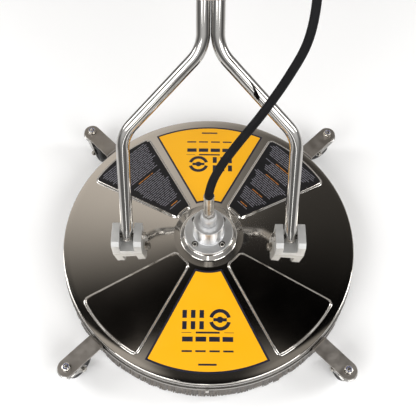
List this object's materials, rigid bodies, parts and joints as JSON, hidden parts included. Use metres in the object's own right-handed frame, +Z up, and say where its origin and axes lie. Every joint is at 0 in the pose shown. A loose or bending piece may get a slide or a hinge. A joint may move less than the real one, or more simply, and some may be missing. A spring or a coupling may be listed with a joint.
{
  "type": "surface cleaner",
  "caption": "Round stainless flat-surface cleaner on swivel casters, with a spinning spray bar under a brush-skirted deck, a water swivel, a hinged two-tube handle, a hose and a trigger gun.",
  "frame": {"origin": "on the floor under the middle of the machine's box", "axes": "+Z up, +X across the machine, +Y towards the operator who holds the handle"},
  "size_m": [0.768, 1.0316, 1.0816],
  "materials": {
    "deck_steel": "polished sheet, soft grain",
    "tube_steel": "mirror polished stainless",
    "strap_steel": "brushed flat bar",
    "strip_steel": "brushed strip",
    "cast_aluminium": "turned, matt",
    "machined_aluminium": "milled, fine lines",
    "hardware": "bright zinc plate",
    "shaft_steel": "turned steel",
    "fork_steel": "zinc plated pressing",
    "ferrule_steel": "crimped bright steel",
    "brass": "machined",
    "bristle": "coarse bristle",
    "seal_rubber": "moulded",
    "grip_rubber": "ribbed, matt",
    "hose_rubber": "fine fabric-pressed, matt",
    "wheel_tread": "solid black wheel",
    "gun_plastic": "moulded, fine texture"
  },
  "bodies": {
    "chassis": {"deck": "deck_steel", "brush_channel": "strip_steel", "brush_skirt": "bristle", "strip_clip": "strip_steel", "swivel_housing": "cast_aluminium", "swivel_cap": "cast_aluminium", "lower_bearing": "hardware", "upper_bearing": "hardware", "shaft_seal": "seal_rubber", "backing_plate": "strip_steel", "flange_screw_1": "hardware", "flange_screw_2": "hardware", "flange_screw_3": "hardware", "flange_screw_4": "hardware", "inlet_fitting": "hardware", "lower_ferrule": "ferrule_steel", "clevis_left": "machined_aluminium", "clevis_right": "machined_aluminium", "pivot_bolt_left": "hardware", "pivot_bolt_right": "hardware", "caster_arm_rear_left": "strap_steel", "caster_arm_rear_right": "strap_steel", "caster_arm_front_left": "strap_steel", "caster_arm_front_right": "strap_steel", "hose": "hose_rubber"},
    "rotor": {"rotor_shaft": "shaft_steel", "rotor_hub": "shaft_steel", "spray_arm_left": "tube_steel", "spray_arm_right": "tube_steel", "nozzle_left": "brass", "nozzle_right": "brass"},
    "caster_rear_left": {"caster_fork_rear_left": "fork_steel", "stem_nut_rear_left": "hardware", "axle_bolt_rear_left": "hardware"},
    "roller_rear_left": {"wheel_rear_left": "wheel_tread"},
    "caster_rear_right": {"caster_fork_rear_right": "fork_steel", "stem_nut_rear_right": "hardware", "axle_bolt_rear_right": "hardware"},
    "roller_rear_right": {"wheel_rear_right": "wheel_tread"},
    "caster_front_left": {"caster_fork_front_left": "fork_steel", "stem_nut_front_left": "hardware", "axle_bolt_front_left": "hardware"},
    "roller_front_left": {"wheel_front_left": "wheel_tread"},
    "caster_front_right": {"caster_fork_front_right": "fork_steel", "stem_nut_front_right": "hardware", "axle_bolt_front_right": "hardware"},
    "roller_front_right": {"wheel_front_right": "wheel_tread"},
    "handle": {"handle_tube_left": "tube_steel", "handle_tube_right": "tube_steel", "tube_band": "strip_steel", "grip_left": "grip_rubber", "grip_right": "grip_rubber", "gun_bracket": "cast_aluminium", "gun_body": "gun_plastic", "trigger_pin": "hardware", "gun_inlet": "brass", "upper_ferrule": "ferrule_steel"},
    "trigger": {"gun_trigger": "gun_plastic"}
  },
  "joints": [
    {"name": "rotor_spin", "type": "hinge", "parent": "chassis", "child": "rotor", "pos_m": [0, -0.12998, 0.1], "axis": [0, 0, 1], "continuous": true},
    {"name": "caster_swivel_rear_left", "type": "hinge", "parent": "chassis", "child": "caster_rear_left", "pos_m": [-0.337, 0.21002, 0.09], "axis": [0, 0, 1], "continuous": true},
    {"name": "wheel_spin_rear_left", "type": "hinge", "parent": "caster_rear_left", "child": "roller_rear_left", "pos_m": [-0.32134, 0.1868, 0.036], "axis": [0.829, 0.5592, 0], "continuous": true},
    {"name": "caster_swivel_rear_right", "type": "hinge", "parent": "chassis", "child": "caster_rear_right", "pos_m": [0.337, 0.21002, 0.09], "axis": [0, 0, 1], "continuous": true},
    {"name": "wheel_spin_rear_right", "type": "hinge", "parent": "caster_rear_right", "child": "roller_rear_right", "pos_m": [0.31251, 0.19644, 0.036], "axis": [0.4848, -0.8746, 0], "continuous": true},
    {"name": "caster_swivel_front_left", "type": "hinge", "parent": "chassis", "child": "caster_front_left", "pos_m": [-0.337, -0.46998, 0.09], "axis": [0, 0, 1], "continuous": true},
    {"name": "wheel_spin_front_left", "type": "hinge", "parent": "caster_front_left", "child": "roller_front_left", "pos_m": [-0.32054, -0.44733, 0.036], "axis": [-0.809, 0.5878, 0], "continuous": true},
    {"name": "caster_swivel_front_right", "type": "hinge", "parent": "chassis", "child": "caster_front_right", "pos_m": [0.337, -0.46998, 0.09], "axis": [0, 0, 1], "continuous": true},
    {"name": "wheel_spin_front_right", "type": "hinge", "parent": "caster_front_right", "child": "roller_front_right", "pos_m": [0.32651, -0.44402, 0.036], "axis": [-0.9272, -0.3746, 0], "continuous": true},
    {"name": "handle_tilt", "type": "hinge", "parent": "chassis", "child": "handle", "pos_m": [0, -0.14448, 0.15], "axis": [1, 0, 0], "range_deg": [-50, 45], "deforming": ["hose"]},
    {"name": "trigger_pull", "type": "hinge", "parent": "handle", "child": "trigger", "pos_m": [0.2, 0.37732, 0.98587], "axis": [-1, 0, 0], "range_deg": [0, 16], "stiffness_Nm_per_rad": 3, "springref_deg": -17.19}
  ]
}
